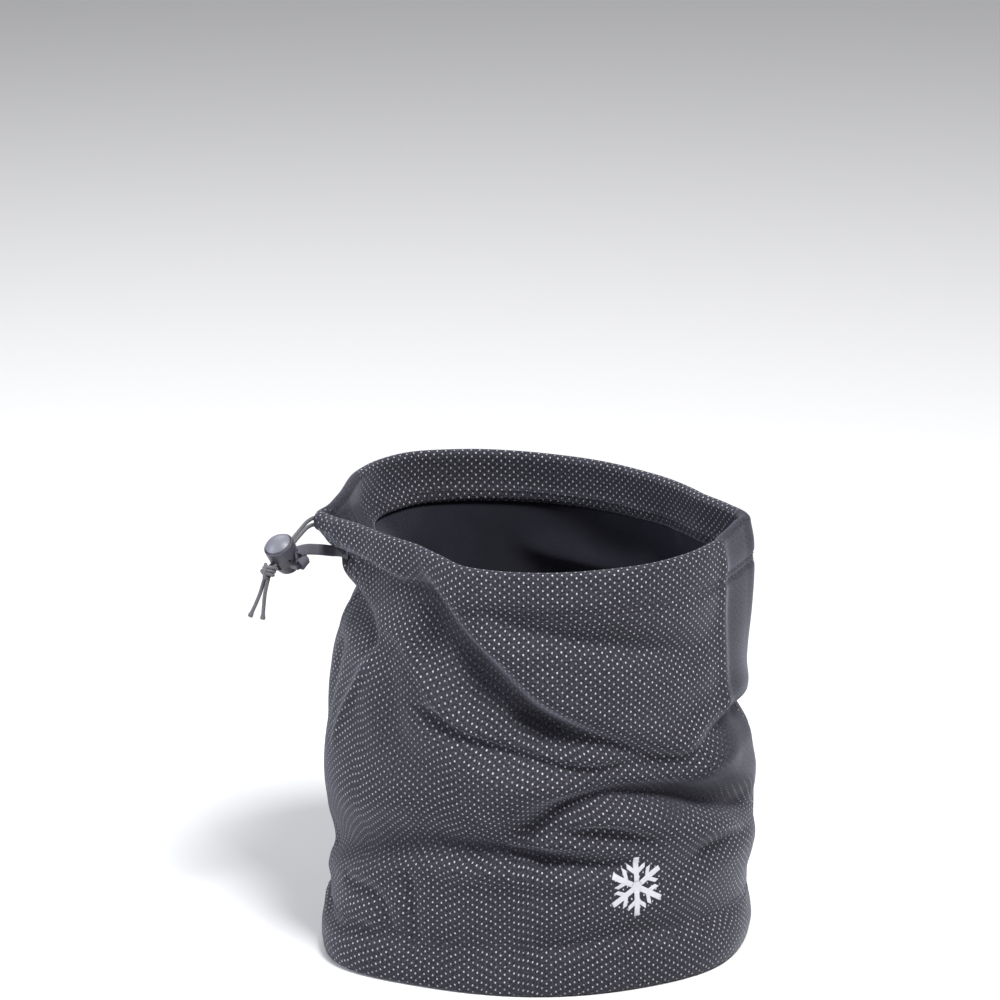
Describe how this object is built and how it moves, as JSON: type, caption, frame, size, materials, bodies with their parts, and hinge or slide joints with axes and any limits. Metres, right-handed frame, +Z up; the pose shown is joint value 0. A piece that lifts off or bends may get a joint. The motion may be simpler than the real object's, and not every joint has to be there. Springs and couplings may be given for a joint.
{
  "type": "neck gaiter with drawcord",
  "caption": "Lined stretch-fabric neck gaiter with a drawcord casing at its upper edge, a spring cord lock on a tether tape, and a sewn hem.",
  "frame": {"origin": "centre of the tube at the level of its bottom hem", "axes": "+Z up along the tube, -Y through the middle of the front panel, -X through the side seam where the drawcord comes out"},
  "size_m": [0.1962, 0.1644, 0.174],
  "materials": {
    "shell_fabric": "dark charcoal stretch knit with a fine lattice of light dots",
    "lining_fabric": "plain dark brushed knit",
    "thread": "dark grey polyester thread",
    "reflective_print": "light grey reflective transfer print",
    "tether_fabric": "flat grey binding tape",
    "elastic_cord": "grey braided elastic cord",
    "lock_housing_plastic": "satin grey moulded plastic",
    "lock_button_plastic": "light grey moulded plastic, soft gloss",
    "spring_steel": "plain steel wire"
  },
  "bodies": {
    "gaiter": {"front_panel": "shell_fabric", "back_panel": "shell_fabric", "lining": "lining_fabric", "lower_casing_stitching": "thread", "upper_casing_stitching": "thread", "upper_hem_stitching": "thread", "lower_hem_stitching": "thread", "left_side_seam": "thread", "right_side_seam": "thread", "printed_mark": "reflective_print", "tether_tape": "tether_fabric", "tether_tack": "thread", "drawcord_casing_run": "elastic_cord", "front_strand": "elastic_cord", "back_strand": "elastic_cord"},
    "cord_lock": {"lock_housing": "lock_housing_plastic", "lock_spring": "spring_steel"},
    "button": {"lock_plunger": "lock_button_plastic"},
    "cord_ends": {"front_strand_end": "elastic_cord", "back_strand_end": "elastic_cord", "drawcord_knot": "elastic_cord", "front_tail": "elastic_cord", "back_tail": "elastic_cord"}
  },
  "joints": [
    {"name": "lock_slide", "type": "slide", "parent": "gaiter", "child": "cord_lock", "axis": [0.5515, 0.6271, 0.5502], "range_m": [0, 0.0055], "deforming": ["tether_tape"]},
    {"name": "button_press", "type": "slide", "parent": "cord_lock", "child": "button", "axis": [0.372, 0.4054, -0.835], "range_m": [0, 0.0019], "stiffness_N_per_m": 1500, "springref_m": -0.001, "deforming": ["lock_spring"]},
    {"name": "cord_pull", "type": "slide", "parent": "gaiter", "child": "cord_ends", "axis": [-0.5515, -0.6271, -0.5502], "range_m": [0, 0.008]}
  ]
}
